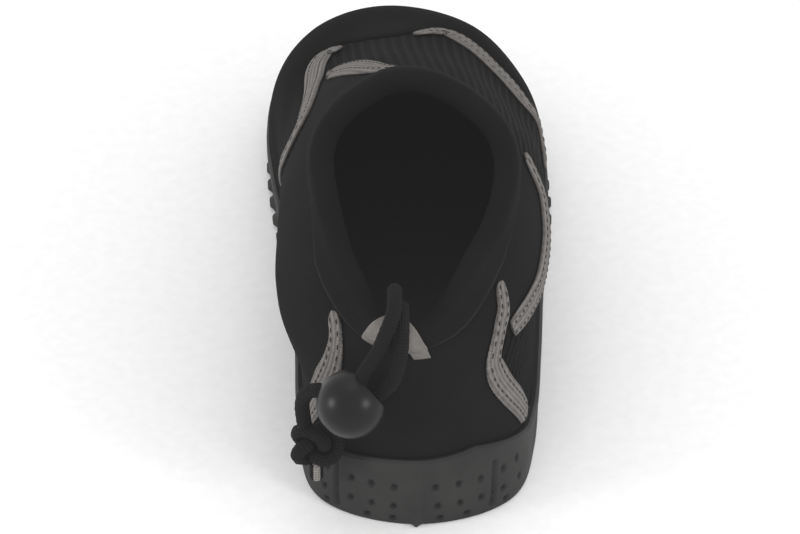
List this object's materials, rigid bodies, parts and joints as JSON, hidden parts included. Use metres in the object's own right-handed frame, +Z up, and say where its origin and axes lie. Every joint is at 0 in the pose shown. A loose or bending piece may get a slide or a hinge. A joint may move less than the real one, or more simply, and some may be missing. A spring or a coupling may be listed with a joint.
{
  "type": "water shoe",
  "caption": "Low slip-on water shoe with a neoprene upper, a drawn collar with a ball cord lock, stitched trims and a cup sole with cross-grooved tread.",
  "frame": {"origin": "bottom centre of the shoe's bounding box without its cords, on the floor it stands on", "axes": "+Y along the sole toward the toe, +X toward the little-toe side, +Z up"},
  "size_m": [0.095, 0.2627, 0.0909],
  "materials": {
    "grey_rubber": "matt moulded rubber",
    "insole_foam": "matt foam with a knit face",
    "black_neoprene": "matt knit-faced neoprene",
    "toe_fabric": "matt coated fabric",
    "grey_tape": "stitched tape",
    "pale_webbing": "woven webbing",
    "black_cord": "round braided cord",
    "black_plastic": "gloss"
  },
  "bodies": {
    "root": {"outsole": "grey_rubber", "insole": "insole_foam", "upper": "black_neoprene", "collar_band": "black_neoprene", "toe_cap": "toe_fabric", "toe_trim_medial": "grey_tape", "toe_trim_lateral": "grey_tape", "throat_trim": "grey_tape", "side_trim": "grey_tape", "heel_trim_lateral": "grey_tape", "heel_trim_medial": "grey_tape", "heel_tab_lateral": "pale_webbing", "heel_tab_medial": "pale_webbing", "drawcord_lateral": "black_cord", "drawcord_medial": "black_cord", "drawcord_tail": "black_cord", "cord_knot": "black_cord", "cord_tip": "pale_webbing", "cord_lock": "black_plastic"}
  },
  "joints": []
}
